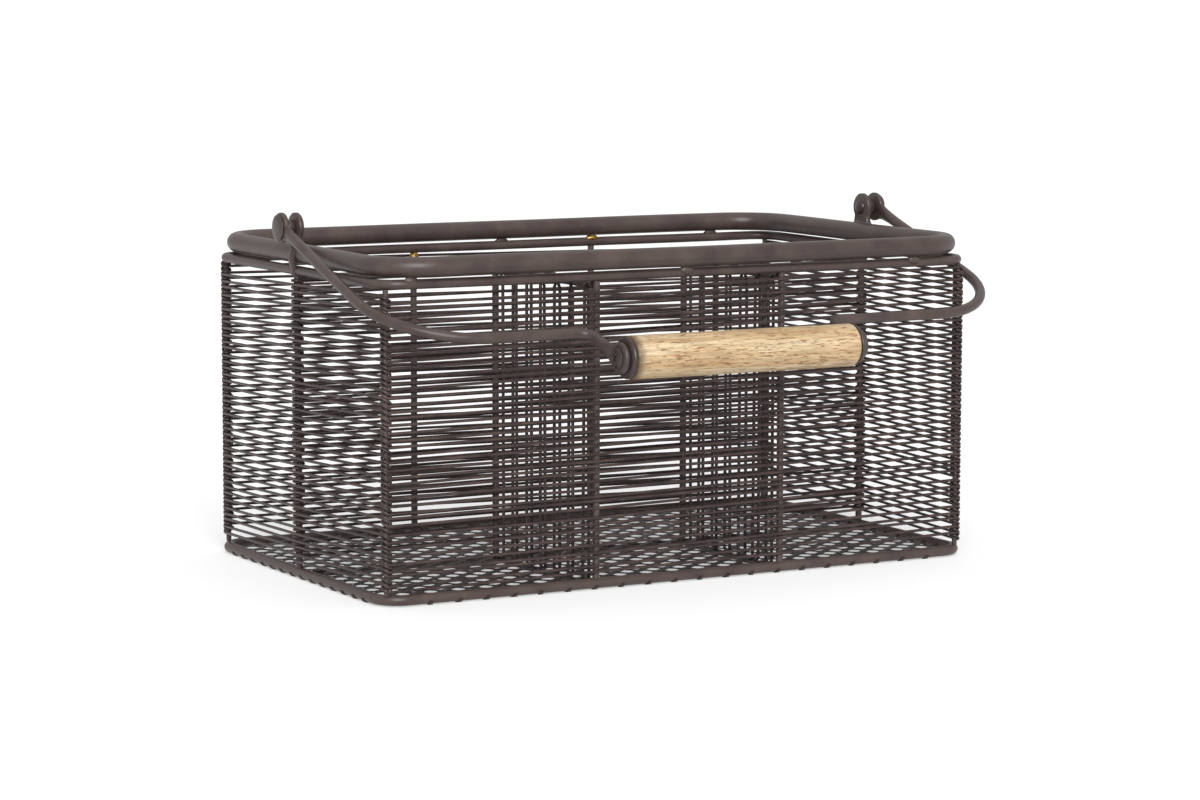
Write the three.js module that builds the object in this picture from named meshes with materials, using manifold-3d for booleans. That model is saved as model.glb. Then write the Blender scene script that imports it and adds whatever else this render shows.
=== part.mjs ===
// Wire produce basket: a frame of iron rods wound with thin wire, divided into one long and three
// short compartments, with a swinging bail handle and a turned wooden grip.
// Millimetres, +Z up. The origin is the centre of the underside, +X runs along the basket's length,
// and the handle is folded down over the -Y side.

import * as THREE from 'three';
import { mergeVertices } from 'three/addons/utils/BufferGeometryUtils.js';
import Module from 'manifold-3d';

const wasm = await Module();
wasm.setup();

// ---------------------------------------------------------------- driving dimensions
const rodSides = 8;
const flatness = Math.cos(Math.PI / rodSides); // across-flats over across-corners of an 8-sided rod
const weldGap = 0.3; // space left between pieces that touch

const ringHalfLength = 158.5; // to the rod's centreline
const ringHalfDepth = 94;
const ringRadius = 2.3;
const ringHeight = 147;
const ringCorner = 12;

const baseRadius = 2.75;
const baseHeight = baseRadius; // the ring lies on the table
const baseCorner = 12;

const rimHalfLength = 156.3;
const rimHalfDepth = 96.6;
const rimRadius = 4.75;
const rimHeight = 154.8;
const rimCorner = 24.5;

const postRadius = 1.65;
const cornerPostX = 156;
const cornerPostY = 90.6;
const frontPostX = { left: -49.2, right: 51.8 }; // set by hand, so not quite at thirds
const backPostX = { left: -51.5, right: 51.5 };
const innerPostX = { left: -53.2, right: 52.8 };
const topRodRadius = 2;
const topRodHeight = 143.2;
const floorRodRadius = 1.5;
const floorRodHeight = floorRodRadius * flatness;

const wire = 1.5; // winding wire
const wirePitch = 3.3;
const courses = 41;
const firstCourse = 8.6; // height of the lowest course
const crossWires = 13;

const floorSheet = 0.8;
const floorBottom = 3.3;
const meshCellX = 36;
const meshCellY = 28;
const meshOpen = 0.8; // part of a cell's width that is open

const pivotHeight = 167.4;
const lugInner = 157.6; // X of the lug's inner face
const lugThick = 2.6;
const lugRadius = 7;
const eyeThick = 2.6;
const eyeRadius = 7.2;
const eyeHole = 2.6;
const shankRadius = 2;
const pivotEyeX = 166.3; // middle of the eye's thickness
const headThick = 1.5;
const headRadius = 6.2;

const bailRadius = 2.5;
const bailDrop = THREE.MathUtils.degToRad(19); // how far the folded handle hangs below level
const bailReach = 132; // pivot line to the cross bar
const bailCorner = 45;
const gripReach = 160; // pivot line to the grip's axis
const gripEyeX = 63.4;
const gripNeckX = 64.6;
const gripBend = 6.5;

const gripShift = -5; // the grip hangs a little left of the middle
const gripHalf = 59.5;
const gripRadius = 10;
const gripEdge = 1.4;
const capThick = 2;
const capRadius = 9.6;
const screwHole = 2.3;
const screwDepth = 12;
const screwHeadRadius = 4.8;
const screwHeadThick = 1.6;

// ---------------------------------------------------------------- materials
function iron(color, roughness) {
  return new THREE.MeshStandardMaterial({ color, roughness, metalness: 0.55 });
}

function wood() {
  return new THREE.MeshStandardMaterial({ color: 0xd9b98a, roughness: 0.6, metalness: 0 });
}

const darkIron = 0x5a4e4b;
const wireIron = 0x4a403e;

const basket = new THREE.Group();

function place(parent, name, geometry, material, x = 0, y = 0, z = 0) {
  const mesh = new THREE.Mesh(geometry, material);
  mesh.name = name;
  mesh.position.set(x, y, z);
  parent.add(mesh);
  return mesh;
}

// ---------------------------------------------------------------- solids
function toSolid(geometry) {
  const bare = geometry.clone();
  bare.deleteAttribute('normal');
  bare.deleteAttribute('uv');
  const merged = mergeVertices(bare, 1e-4);
  return new wasm.Manifold(new wasm.Mesh({
    numProp: 3,
    vertProperties: new Float32Array(merged.attributes.position.array),
    triVerts: new Uint32Array(merged.index.array),
  }));
}

function toGeometry(solid) {
  const mesh = solid.getMesh();
  const geometry = new THREE.BufferGeometry();
  geometry.setAttribute('position', new THREE.BufferAttribute(mesh.vertProperties, 3));
  geometry.setIndex(new THREE.BufferAttribute(mesh.triVerts, 1));
  geometry.computeVertexNormals();
  return geometry;
}

// A bent rod's centreline, which has a section at each of its stations and nowhere else.
class BentLine extends THREE.Curve {
  constructor(stations, closed = false) {
    super();
    this.stations = stations;
    this.closed = closed;
    this.spans = closed ? stations.length : stations.length - 1;
  }

  station(i) {
    const count = this.stations.length;
    if (this.closed) return this.stations[(i + count) % count];
    return this.stations[THREE.MathUtils.clamp(i, 0, count - 1)];
  }

  getPoint(t, target = new THREE.Vector3()) {
    return target.copy(this.station(Math.round(t * this.spans)));
  }

  getPointAt(t, target) {
    return this.getPoint(t, target);
  }

  getTangentAt(t, target = new THREE.Vector3()) {
    const i = Math.round(t * this.spans);
    const into = new THREE.Vector3().subVectors(this.station(i), this.station(i - 1)).normalize();
    const out = new THREE.Vector3().subVectors(this.station(i + 1), this.station(i)).normalize();
    return target.addVectors(into, out).normalize();
  }
}

// Points along a line through the corners, with each inner corner rounded to its radius.
function roundedLine(corners, radius, stepsPerCorner) {
  const stations = [corners[0].clone()];
  for (let i = 1; i < corners.length - 1; i += 1) {
    const r = Array.isArray(radius) ? radius[i - 1] : radius;
    const back = new THREE.Vector3().subVectors(corners[i - 1], corners[i]).normalize();
    const on = new THREE.Vector3().subVectors(corners[i + 1], corners[i]).normalize();
    const half = back.angleTo(on) / 2;
    const start = corners[i].clone().addScaledVector(back, r / Math.tan(half));
    const middle = new THREE.Vector3().addVectors(back, on).normalize();
    const centre = corners[i].clone().addScaledVector(middle, r / Math.sin(half));
    const axis = new THREE.Vector3().crossVectors(on, back).normalize();
    const turn = Math.PI - 2 * half;
    for (let k = 0; k <= stepsPerCorner; k += 1) {
      const arm = new THREE.Vector3().subVectors(start, centre);
      arm.applyAxisAngle(axis, turn * k / stepsPerCorner);
      stations.push(centre.clone().add(arm));
    }
  }
  stations.push(corners[corners.length - 1].clone());
  return stations;
}

function rodSection(radius) {
  const section = new THREE.Shape();
  for (let i = 0; i < rodSides; i += 1) {
    const angle = (i + 0.5) * 2 * Math.PI / rodSides;
    const x = radius * Math.cos(angle);
    const y = radius * Math.sin(angle);
    if (i === 0) section.moveTo(x, y);
    else section.lineTo(x, y);
  }
  section.closePath();
  return section;
}

function bentRod(stations, radius) {
  return new THREE.ExtrudeGeometry(rodSection(radius), {
    steps: stations.length - 1,
    extrudePath: new BentLine(stations),
  });
}

// A closed rectangular hoop of round rod with round corners.
function hoop(halfLength, halfDepth, corner, radius) {
  const stations = [];
  const stepsPerCorner = 6;
  for (const [sx, sy, quarter] of [[1, -1, -1], [1, 1, 0], [-1, 1, 1], [-1, -1, 2]]) {
    for (let k = 0; k <= stepsPerCorner; k += 1) {
      const angle = (quarter + k / stepsPerCorner) * Math.PI / 2;
      stations.push(new THREE.Vector3(
        sx * (halfLength - corner) + corner * Math.cos(angle),
        sy * (halfDepth - corner) + corner * Math.sin(angle),
        0,
      ));
    }
  }
  return new THREE.TubeGeometry(new BentLine(stations, true), stations.length, radius, rodSides, true);
}

// A straight rod along X, Y or Z, centred on its own origin, with a flat facing straight down.
function straightRod(length, radius, along) {
  const geometry = new THREE.CylinderGeometry(radius, radius, length, rodSides);
  geometry.rotateY(Math.PI / rodSides);
  if (along === 'x') geometry.rotateZ(Math.PI / 2);
  if (along === 'z') geometry.rotateX(Math.PI / 2);
  return geometry;
}

// A disc whose axis is X.
function disc(radius, thick, sides = 20) {
  const geometry = new THREE.CylinderGeometry(radius, radius, thick, sides);
  geometry.rotateZ(Math.PI / 2);
  return geometry;
}

// A turned piece: the profile's points are distance from the axis and place along X.
function turned(profile, sides = 20) {
  const points = profile.map(([r, x]) => new THREE.Vector2(r, x));
  const geometry = new THREE.LatheGeometry(points, sides);
  geometry.rotateZ(-Math.PI / 2);
  return geometry;
}

// One long wire laid back and forth in courses: the outline of its flat zigzag, given its thickness.
// Courses run along local X and stack along local Y, and the thickness is along local Z.
function zigzagWire(width, count, pitch) {
  const line = [];
  for (let i = 0; i < count; i += 1) {
    const rightward = i % 2 === 0;
    line.push(new THREE.Vector2(rightward ? 0 : width, i * pitch));
    line.push(new THREE.Vector2(rightward ? width : 0, i * pitch));
  }
  const offset = (i, side) => {
    const into = i > 0 ? line[i].clone().sub(line[i - 1]).normalize() : null;
    const out = i < line.length - 1 ? line[i + 1].clone().sub(line[i]).normalize() : null;
    const shift = new THREE.Vector2();
    if (into) shift.add(new THREE.Vector2(-into.y, into.x));
    if (out) shift.add(new THREE.Vector2(-out.y, out.x));
    return line[i].clone().addScaledVector(shift, side * wire / 2);
  };
  const left = line.map((p, i) => offset(i, 1));
  const right = line.map((p, i) => offset(i, -1)).reverse();
  left[0] = new THREE.Vector2(line[0].x, line[0].y + wire / 2);
  right[right.length - 1] = new THREE.Vector2(line[0].x, line[0].y - wire / 2);
  const outline = new THREE.Shape([...right, ...left]);
  return new THREE.ExtrudeGeometry(outline, { depth: wire, bevelEnabled: false });
}

// ---------------------------------------------------------------- rod frame
function addHoops() {
  place(basket, 'bottom_ring', hoop(ringHalfLength, ringHalfDepth, baseCorner, baseRadius),
    iron(darkIron, 0.5), 0, 0, baseHeight);
  place(basket, 'upper_ring', hoop(ringHalfLength, ringHalfDepth, ringCorner, ringRadius),
    iron(darkIron, 0.5), 0, 0, ringHeight);
  place(basket, 'top_rim', hoop(rimHalfLength, rimHalfDepth, rimCorner, rimRadius),
    iron(darkIron, 0.45), 0, 0, rimHeight);
}

function addPost(name, x, y, bottom, top) {
  place(basket, name, straightRod(top - bottom, postRadius, 'z'), iron(darkIron, 0.5),
    x, y, (top + bottom) / 2);
}

function addPosts() {
  const bottom = baseHeight + baseRadius + weldGap;
  const top = ringHeight - ringRadius - weldGap;
  for (const [sideName, side] of [['left', -1], ['right', 1]]) {
    addPost(`corner_post_front_${sideName}`, side * cornerPostX, -cornerPostY, bottom, top);
    addPost(`corner_post_back_${sideName}`, side * cornerPostX, cornerPostY, bottom, top);
    addPost(`front_post_${sideName}`, frontPostX[sideName], -ringHalfDepth, bottom, top);
    addPost(`back_post_${sideName}`, backPostX[sideName], ringHalfDepth, bottom, top);
    addPost(`side_post_${sideName}`, side * ringHalfLength, 0, bottom, top);
    addPost(`inner_post_${sideName}`, innerPostX[sideName], 0,
      floorBottom + floorSheet + weldGap, topRodHeight - topRodRadius - weldGap);
  }
}

// A cross divider runs from its inner post to its front post, a little askew.
function crossLine(side) {
  const run = innerPostX[side] - frontPostX[side];
  return {
    xAt: (y) => innerPostX[side] + run * y / ringHalfDepth,
    turn: -Math.atan(run / ringHalfDepth),
    stretch: Math.hypot(1, run / ringHalfDepth),
  };
}

// A rod of a cross divider, between two distances in front of the long divider.
function addCrossRod(name, side, front, back, radius, height) {
  const line = crossLine(side);
  const length = (front - back) * line.stretch;
  const rod = place(basket, name, straightRod(length, radius, 'y'), iron(darkIron, 0.5),
    line.xAt(-(front + back) / 2), -(front + back) / 2, height);
  rod.rotation.z = line.turn;
}

// The rods that carry the dividers, at the top and under the floor.
function addDividerRods() {
  const postFace = ringHalfLength - postRadius - weldGap;
  place(basket, 'divider_top_rod', straightRod(2 * postFace, topRodRadius, 'x'),
    iron(darkIron, 0.5), 0, 0, topRodHeight);
  const baseFace = ringHalfLength - baseRadius - weldGap;
  place(basket, 'floor_spine', straightRod(2 * baseFace, floorRodRadius, 'x'),
    iron(darkIron, 0.55), 0, 0, floorRodHeight);
  for (const side of ['left', 'right']) {
    const topFront = ringHalfDepth - ringRadius - weldGap;
    const topBack = topRodRadius + weldGap;
    addCrossRod(`cross_top_rod_${side}`, side, topFront, topBack, topRodRadius, topRodHeight);
    const lowFront = ringHalfDepth - baseRadius - weldGap;
    const lowBack = floorRodRadius + weldGap;
    addCrossRod(`cross_floor_rod_${side}`, side, lowFront, lowBack, floorRodRadius, floorRodHeight);
  }
}

// Short weld runs in the outer groove between the ring and the rim above it.
function addRimWelds() {
  const weldRadius = 1.3;
  const weldLength = 7;
  const toRim = rimRadius + weldGap + weldRadius;
  const toRing = ringRadius + weldGap + weldRadius;
  const apartY = rimHalfDepth - ringHalfDepth;
  const apartZ = rimHeight - ringHeight;
  const apart = Math.hypot(apartY, apartZ);
  const along = (toRing * toRing - toRim * toRim + apart * apart) / (2 * apart);
  const aside = Math.sqrt(toRing * toRing - along * along);
  const y = ringHalfDepth + (along * apartY + aside * apartZ) / apart;
  const z = ringHeight + (along * apartZ - aside * apartY) / apart;
  for (const [rowName, row, places] of [['front', -1, [-145, -2, 126]], ['back', 1, [-125, 0, 125]]]) {
    places.forEach((x, i) => {
      place(basket, `rim_weld_${rowName}_${i + 1}`, straightRod(weldLength, weldRadius, 'x'),
        iron(darkIron, 0.6), x, row * y, z);
    });
  }
}

// ---------------------------------------------------------------- windings and floor
function addWallWindings() {
  const standOff = postRadius + weldGap + 0.05 + wire / 2; // post centre to wire centre
  const frontWidth = 2 * cornerPostX - 1;
  const sideWidth = 2 * cornerPostY - 1;
  for (const [name, row] of [['front', -1], ['back', 1]]) {
    const mesh = place(basket, `winding_${name}`, zigzagWire(frontWidth, courses, wirePitch),
      iron(wireIron, 0.5), -frontWidth / 2, row * (ringHalfDepth + standOff) + wire / 2, firstCourse);
    mesh.rotation.x = Math.PI / 2;
  }
  for (const [name, side] of [['left', -1], ['right', 1]]) {
    const mesh = place(basket, `winding_${name}`, zigzagWire(sideWidth, courses, wirePitch),
      iron(wireIron, 0.5), side * (ringHalfLength + standOff) - wire / 2, -sideWidth / 2, firstCourse);
    mesh.rotation.set(Math.PI / 2, 0, Math.PI / 2, 'ZYX');
  }
  const dividerWidth = 2 * (ringHalfLength - postRadius - 2 * weldGap - wire / 2);
  const divider = place(basket, 'winding_divider', zigzagWire(dividerWidth, courses - 1, wirePitch),
    iron(wireIron, 0.5), -dividerWidth / 2, standOff + wire / 2, firstCourse);
  divider.rotation.x = Math.PI / 2;
}

// The two cross dividers are wound with upright wires.
function addCrossWindings() {
  const bottom = floorBottom + floorSheet + weldGap + wire / 2;
  const top = topRodHeight - topRodRadius - weldGap - wire / 2;
  const back = -(postRadius + weldGap + wire / 2);
  const front = -(ringHalfDepth - postRadius - weldGap - wire / 2);
  for (const side of ['left', 'right']) {
    const line = crossLine(side);
    const pitch = (back - front) * line.stretch / (crossWires - 1);
    const halfWire = wire / 2;
    const mesh = place(basket, `winding_cross_${side}`, zigzagWire(top - bottom, crossWires, pitch),
      iron(wireIron, 0.5), line.xAt(front) + halfWire * Math.cos(line.turn),
      front + halfWire * Math.sin(line.turn), bottom);
    mesh.rotation.set(0, -Math.PI / 2, line.turn, 'ZYX');
  }
}

// The floor is a sheet of expanded metal with open diamonds in offset rows.
function addFloor() {
  const halfX = ringHalfLength - baseRadius - weldGap;
  const halfY = ringHalfDepth - baseRadius - weldGap;
  const corner = baseCorner - baseRadius - weldGap;
  const outline = new THREE.Shape();
  outline.moveTo(halfX - corner, -halfY);
  outline.absarc(halfX - corner, corner - halfY, corner, -Math.PI / 2, 0);
  outline.absarc(halfX - corner, halfY - corner, corner, 0, Math.PI / 2);
  outline.absarc(corner - halfX, halfY - corner, corner, Math.PI / 2, Math.PI);
  outline.absarc(corner - halfX, corner - halfY, corner, Math.PI, 3 * Math.PI / 2);
  let sheet = toSolid(new THREE.ExtrudeGeometry(outline, {
    depth: floorSheet, bevelEnabled: false, curveSegments: 4,
  }));
  const openX = meshCellX / 2 * meshOpen;
  const openY = meshCellY / 2 * meshOpen;
  const diamond = toSolid(new THREE.ExtrudeGeometry(new THREE.Shape([
    new THREE.Vector2(openX, 0), new THREE.Vector2(0, openY),
    new THREE.Vector2(-openX, 0), new THREE.Vector2(0, -openY),
  ]), { depth: 3 * floorSheet, bevelEnabled: false }));
  const rows = Math.ceil(2 * halfY / meshCellY);
  const columns = Math.ceil(halfX / meshCellX);
  const border = 3;
  for (let row = -rows; row <= rows; row += 1) {
    for (let column = -columns; column <= columns; column += 1) {
      const x = (column + (row % 2 === 0 ? 0 : 0.5)) * meshCellX;
      const y = row * meshCellY / 2;
      const beyondEdge = Math.abs(x) + openX > halfX - border || Math.abs(y) + openY > halfY - border;
      const atCorner = Math.abs(x) > halfX - corner - openX && Math.abs(y) > halfY - corner - openY / 2;
      if (!beyondEdge && !atCorner) sheet = sheet.subtract(diamond.translate([x, y, -floorSheet]));
    }
  }
  place(basket, 'floor_mesh', toGeometry(sheet), iron(wireIron, 0.55), 0, 0, floorBottom);
}

// ---------------------------------------------------------------- handle pivots
// A lug is a flat ear with a wide foot that stands on the rim. Its outline is in Y and Z.
function lugGeometry() {
  const foot = 5;
  const footBottom = rimHeight + rimRadius + weldGap + 0.2 - pivotHeight;
  const shoulder = -Math.sqrt(lugRadius * lugRadius - foot * foot);
  const outline = new THREE.Shape();
  outline.moveTo(-foot, footBottom);
  outline.lineTo(foot, footBottom);
  const start = Math.atan2(shoulder, foot);
  outline.absarc(0, 0, lugRadius, start, Math.PI - start, false);
  outline.closePath();
  const hole = new THREE.Path();
  hole.absarc(0, 0, eyeHole, 0, 2 * Math.PI, true);
  outline.holes.push(hole);
  const geometry = new THREE.ExtrudeGeometry(outline, {
    depth: lugThick, bevelEnabled: false, curveSegments: 16,
  });
  geometry.rotateX(Math.PI / 2);
  geometry.rotateZ(Math.PI / 2);
  return geometry;
}

function addPivots() {
  const lugOuter = lugInner + lugThick;
  const eyeInner = pivotEyeX - eyeThick / 2;
  const eyeOuter = pivotEyeX + eyeThick / 2;
  const headIn = eyeOuter + weldGap;
  const tipOut = lugInner - weldGap;
  for (const [name, side] of [['left', -1], ['right', 1]]) {
    place(basket, `pivot_lug_${name}`, lugGeometry(), iron(darkIron, 0.45),
      side > 0 ? lugInner : -lugOuter, 0, pivotHeight);

    const strapThick = 1.6;
    const strapX = rimHalfLength + rimRadius + weldGap + 0.05 + strapThick / 2;
    const strapBottom = ringHeight - ringRadius;
    const strapTop = rimHeight + 3.2;
    place(basket, `end_strap_${name}`, new THREE.BoxGeometry(strapThick, 7, strapTop - strapBottom),
      iron(darkIron, 0.5), side * strapX, 0, (strapTop + strapBottom) / 2);

    const spacerLength = eyeInner - lugOuter - 2 * weldGap;
    const spacer = turned([
      [eyeHole, 0], [3.8, 0], [3.8, spacerLength], [eyeHole, spacerLength], [eyeHole, 0],
    ], 16);
    place(basket, `pivot_spacer_${name}`, spacer, iron(darkIron, 0.5),
      side > 0 ? lugOuter + weldGap : -(eyeInner - weldGap), 0, pivotHeight);

    const rivet = turned([
      [0, tipOut - 1.6], [2.4, tipOut - 1.3], [3.6, tipOut], [shankRadius, tipOut],
      [shankRadius, headIn], [headRadius, headIn], [headRadius, headIn + 0.6],
      [headRadius * 0.72, headIn + headThick * 0.85], [0, headIn + headThick],
    ], 20);
    const rivetMesh = place(basket, `pivot_rivet_${name}`, rivet, iron(darkIron, 0.45),
      0, 0, pivotHeight);
    if (side < 0) rivetMesh.rotation.z = Math.PI;
  }
}

// ---------------------------------------------------------------- handle
// Each half of the bail is one bent wire with its two ends flattened to eyes. It is drawn in the
// handle's own plane: X along the basket, -Y away from the pivots.
function bailHalf(side) {
  const at = (x, reach) => new THREE.Vector3(side * x, -reach, 0);
  const neck = 6.6; // the round wire starts this far from an eye's centre
  const stations = roundedLine([
    at(pivotEyeX, neck),
    at(pivotEyeX, bailReach),
    at(gripNeckX + side * gripShift, bailReach),
    at(gripNeckX + side * gripShift, gripReach - neck),
  ], [bailCorner, gripBend], 8);
  let solid = toSolid(bentRod(stations, bailRadius));
  for (const [x, reach] of [[side * pivotEyeX, 0], [side * gripEyeX + gripShift, gripReach]]) {
    const eye = toSolid(disc(eyeRadius, eyeThick, 24)).translate([x, -reach, 0]);
    const hole = toSolid(disc(eyeHole, 3 * eyeThick, 16)).translate([x, -reach, 0]);
    solid = solid.add(eye).subtract(hole);
  }
  return toGeometry(solid);
}

function addHandle() {
  const handle = new THREE.Group();
  handle.position.set(0, 0, pivotHeight);
  handle.rotation.x = bailDrop;
  basket.add(handle);

  place(handle, 'bail_left', bailHalf(-1), iron(darkIron, 0.45));
  place(handle, 'bail_right', bailHalf(1), iron(darkIron, 0.45));

  const grip = turned([
    [0, screwDepth - gripHalf], [screwHole, screwDepth - gripHalf], [screwHole, -gripHalf],
    [gripRadius - gripEdge, -gripHalf], [gripRadius, gripEdge - gripHalf],
    [gripRadius, gripHalf - gripEdge], [gripRadius - gripEdge, gripHalf],
    [screwHole, gripHalf], [screwHole, gripHalf - screwDepth], [0, gripHalf - screwDepth],
  ], 24);
  place(handle, 'grip', grip, wood(), gripShift, -gripReach, 0);

  const capIn = gripHalf + weldGap;
  const eyeOuter = gripEyeX + eyeThick / 2;
  for (const [name, side] of [['left', -1], ['right', 1]]) {
    const cap = turned([
      [screwHole, capIn], [capRadius, capIn], [capRadius, capIn + 0.6 * capThick],
      [capRadius - 1, capIn + capThick], [screwHole, capIn + capThick], [screwHole, capIn],
    ], 20);
    const capMesh = place(handle, `grip_cap_${name}`, cap, iron(darkIron, 0.4),
      gripShift, -gripReach, 0);
    if (side < 0) capMesh.rotation.z = Math.PI;

    const headIn = eyeOuter + weldGap;
    const screw = turned([
      [0, gripHalf - screwDepth + 1], [shankRadius, gripHalf - screwDepth + 1],
      [shankRadius, headIn], [screwHeadRadius, headIn], [screwHeadRadius, headIn + 0.8],
      [screwHeadRadius * 0.7, headIn + screwHeadThick], [0, headIn + screwHeadThick],
    ], 16);
    const screwMesh = place(handle, `grip_screw_${name}`, screw, iron(darkIron, 0.4),
      gripShift, -gripReach, 0);
    if (side < 0) screwMesh.rotation.z = Math.PI;
  }
}

addHoops();
addPosts();
addDividerRods();
addRimWelds();
addWallWindings();
addCrossWindings();
addFloor();
addPivots();
addHandle();

export default basket;
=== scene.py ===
import math
import random

import bpy
from mathutils import Matrix, Vector, noise


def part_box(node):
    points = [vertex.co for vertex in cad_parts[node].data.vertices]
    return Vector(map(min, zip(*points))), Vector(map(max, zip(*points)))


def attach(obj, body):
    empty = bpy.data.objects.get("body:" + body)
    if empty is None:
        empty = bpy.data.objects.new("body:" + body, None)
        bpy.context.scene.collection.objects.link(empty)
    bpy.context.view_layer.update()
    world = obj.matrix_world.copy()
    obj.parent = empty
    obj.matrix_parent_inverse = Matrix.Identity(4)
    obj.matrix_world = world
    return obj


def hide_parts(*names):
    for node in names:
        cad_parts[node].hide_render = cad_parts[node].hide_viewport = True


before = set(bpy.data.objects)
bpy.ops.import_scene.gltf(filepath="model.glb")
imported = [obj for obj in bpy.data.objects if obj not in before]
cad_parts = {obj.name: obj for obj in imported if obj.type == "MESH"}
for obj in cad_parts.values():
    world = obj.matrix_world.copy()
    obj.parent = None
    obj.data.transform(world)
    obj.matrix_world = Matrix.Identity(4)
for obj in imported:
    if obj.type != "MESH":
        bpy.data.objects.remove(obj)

mm = 0.001
noise.seed_set(41)  # otherwise the clock shifts the noise vectors from run to run
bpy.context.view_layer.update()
print("basket frame loaded")


# ---- colour and shader nodes
def linear(hexColour):
    levels = [int(hexColour[i:i + 2], 16) / 255 for i in (1, 3, 5)]
    return [v / 12.92 if v <= 0.04045 else ((v + 0.055) / 1.055) ** 2.4 for v in levels] + [1]


def addNode(tree, kind, settings=None, values=None, links=None):
    node = tree.nodes.new(kind)
    for name, value in (settings or {}).items():
        setattr(node, name, value)
    for socket, value in (values or {}).items():
        node.inputs[socket].default_value = value
    for socket, source in (links or {}).items():
        tree.links.new(source, node.inputs[socket])
    return node


def setStops(ramp, stops):
    elements = ramp.color_ramp.elements
    while len(elements) < len(stops):
        elements.new(0.5)
    for element, (place, colour) in zip(elements, stops):
        element.position = place
        element.color = colour


def grey(level):
    return [level, level, level, 1]


def newMaterial(name):
    material = bpy.data.materials.new(name)
    material.use_nodes = True
    material.node_tree.nodes.clear()
    return material, material.node_tree


# Mild steel under a brushed-on satin lacquer: soft wide highlights, a faint orange peel, tone that
# clouds over a thumb's width or so, and small bronze-coloured flecks where the coat is thin.
def lacqueredSteel(name, look):
    material, tree = newMaterial(name)
    place = addNode(tree, "ShaderNodeTexCoord").outputs["Object"]
    cloud = addNode(tree, "ShaderNodeTexNoise", values={
        "Scale": 1 / (look["cloudSize"] * mm), "Detail": 3, "Roughness": 0.55}, links={"Vector": place})
    tone = addNode(tree, "ShaderNodeValToRGB", links={"Fac": cloud.outputs["Fac"]})
    setStops(tone, [(0.3, linear(look["dark"])), (0.5, linear(look["middle"])),
                    (0.7, linear(look["light"]))])
    fleck = addNode(tree, "ShaderNodeTexNoise", values={
        "Scale": 1 / (look["fleckSize"] * mm), "Detail": 2}, links={"Vector": place})
    thin = addNode(tree, "ShaderNodeValToRGB", links={"Fac": fleck.outputs["Fac"]})
    setStops(thin, [(0.66, grey(0)), (0.76, grey(look["fleckAmount"]))])
    colour = addNode(tree, "ShaderNodeMix", {"data_type": "RGBA"}, {7: linear(look["fleck"])}, {
        0: thin.outputs["Color"], 6: tone.outputs["Color"]})
    gloss = addNode(tree, "ShaderNodeMapRange", values={
        "From Min": 0.3, "From Max": 0.7, "To Min": look["roughness"] - 0.06,
        "To Max": look["roughness"] + 0.06}, links={"Value": cloud.outputs["Fac"]})
    peel = addNode(tree, "ShaderNodeTexNoise", values={
        "Scale": 1 / (look["peelSize"] * mm), "Detail": 2}, links={"Vector": place})
    bump = addNode(tree, "ShaderNodeBump", values={
        "Strength": look["peel"], "Distance": 0.06 * mm}, links={"Height": peel.outputs["Fac"]})
    shader = addNode(tree, "ShaderNodeBsdfPrincipled", values={
        "Metallic": 0.0, "IOR": 1.5, "Specular IOR Level": look["shine"]}, links={
        "Base Color": colour.outputs[2], "Roughness": gloss.outputs["Result"],
        "Normal": bump.outputs["Normal"]})
    addNode(tree, "ShaderNodeOutputMaterial", links={"Surface": shader.outputs["BSDF"]})
    return material


# Brazing brass left as it cooled: yellow metal, dull with flux and dark oxide.
def brazingBrass(name, look):
    material, tree = newMaterial(name)
    place = addNode(tree, "ShaderNodeTexCoord").outputs["Object"]
    oxide = addNode(tree, "ShaderNodeTexNoise", values={
        "Scale": 1 / (look["patchSize"] * mm), "Detail": 4}, links={"Vector": place})
    tone = addNode(tree, "ShaderNodeValToRGB", links={"Fac": oxide.outputs["Fac"]})
    setStops(tone, [(0.4, linear(look["oxide"])), (0.58, linear(look["brass"]))])
    bump = addNode(tree, "ShaderNodeBump", values={
        "Strength": 0.5, "Distance": 0.2 * mm}, links={"Height": oxide.outputs["Fac"]})
    shader = addNode(tree, "ShaderNodeBsdfPrincipled", values={
        "Metallic": 1.0, "Roughness": look["roughness"]}, links={
        "Base Color": tone.outputs["Color"], "Normal": bump.outputs["Normal"]})
    addNode(tree, "ShaderNodeOutputMaterial", links={"Surface": shader.outputs["BSDF"]})
    return material


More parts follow.
